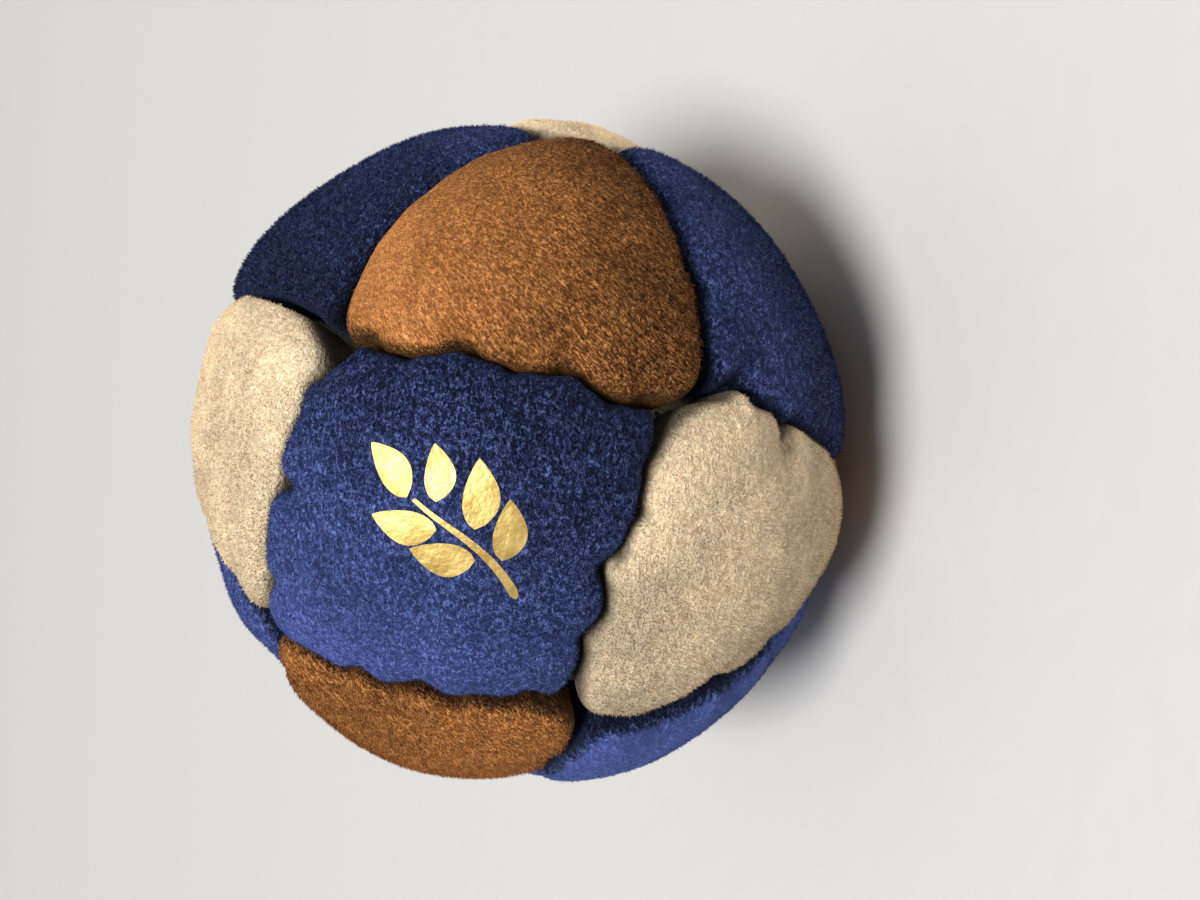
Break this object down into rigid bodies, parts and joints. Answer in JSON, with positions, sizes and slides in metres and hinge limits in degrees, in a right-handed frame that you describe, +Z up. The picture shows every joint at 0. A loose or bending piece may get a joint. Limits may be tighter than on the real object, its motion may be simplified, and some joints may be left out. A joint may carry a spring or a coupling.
{
  "type": "footbag",
  "caption": "Hand-sewn suede footbag: pillowed square and six-sided panels with scalloped, turned-in seams round a sand filling, resting on one flattened crown.",
  "frame": {"origin": "on the ground under the ball's centre, in the middle of the flat that the footbag rests on", "axes": "+Z up through the top panel; the front blue panel faces -Y and about 35 degrees upwards; +X to the right seen from the front"},
  "size_m": [0.0545, 0.0542, 0.053],
  "materials": {
    "blue_suede": "napped synthetic suede, navy blue, matte with a soft sheen",
    "tan_suede": "napped synthetic suede, tan brown, matte with a soft sheen",
    "sand_suede": "napped synthetic suede, sand beige, matte with a soft sheen",
    "seam_thread": "waxed polyester thread, dark blue",
    "sand_filling": "loose dry sand",
    "gold_foil": "hot-pressed gold foil, satin"
  },
  "bodies": {
    "root": {"front_blue_panel": "blue_suede", "rear_right_blue_panel": "blue_suede", "rear_left_blue_panel": "blue_suede", "lower_right_blue_panel": "blue_suede", "lower_left_blue_panel": "blue_suede", "lower_rear_blue_panel": "blue_suede", "top_sand_panel": "sand_suede", "front_sand_panel": "sand_suede", "rear_right_sand_panel": "sand_suede", "rear_left_sand_panel": "sand_suede", "right_tan_panel": "tan_suede", "left_tan_panel": "tan_suede", "rear_tan_panel": "tan_suede", "bottom_tan_panel": "tan_suede", "sand_filling": "sand_filling", "thread_front_blue_to_front_sand": "seam_thread", "thread_front_blue_to_left_tan": "seam_thread", "thread_front_blue_to_right_tan": "seam_thread", "thread_front_blue_to_top_sand": "seam_thread", "thread_front_sand_to_bottom_tan": "seam_thread", "thread_front_sand_to_left_tan": "seam_thread", "thread_front_sand_to_right_tan": "seam_thread", "thread_lower_left_blue_to_bottom_tan": "seam_thread", "thread_lower_left_blue_to_front_sand": "seam_thread", "thread_lower_left_blue_to_left_tan": "seam_thread", "thread_lower_left_blue_to_rear_left_sand": "seam_thread", "thread_lower_rear_blue_to_bottom_tan": "seam_thread", "thread_lower_rear_blue_to_rear_left_sand": "seam_thread", "thread_lower_rear_blue_to_rear_right_sand": "seam_thread", "thread_lower_rear_blue_to_rear_tan": "seam_thread", "thread_lower_right_blue_to_bottom_tan": "seam_thread", "thread_lower_right_blue_to_front_sand": "seam_thread", "thread_lower_right_blue_to_rear_right_sand": "seam_thread", "thread_lower_right_blue_to_right_tan": "seam_thread", "thread_rear_left_blue_to_left_tan": "seam_thread", "thread_rear_left_blue_to_rear_left_sand": "seam_thread", "thread_rear_left_blue_to_rear_tan": "seam_thread", "thread_rear_left_blue_to_top_sand": "seam_thread", "thread_rear_left_sand_to_bottom_tan": "seam_thread", "thread_rear_left_sand_to_left_tan": "seam_thread", "thread_rear_left_sand_to_rear_tan": "seam_thread", "thread_rear_right_blue_to_rear_right_sand": "seam_thread", "thread_rear_right_blue_to_rear_tan": "seam_thread", "thread_rear_right_blue_to_right_tan": "seam_thread", "thread_rear_right_blue_to_top_sand": "seam_thread", "thread_rear_right_sand_to_bottom_tan": "seam_thread", "thread_rear_right_sand_to_rear_tan": "seam_thread", "thread_rear_right_sand_to_right_tan": "seam_thread", "thread_top_sand_to_left_tan": "seam_thread", "thread_top_sand_to_rear_tan": "seam_thread", "thread_top_sand_to_right_tan": "seam_thread"}
  },
  "joints": []
}
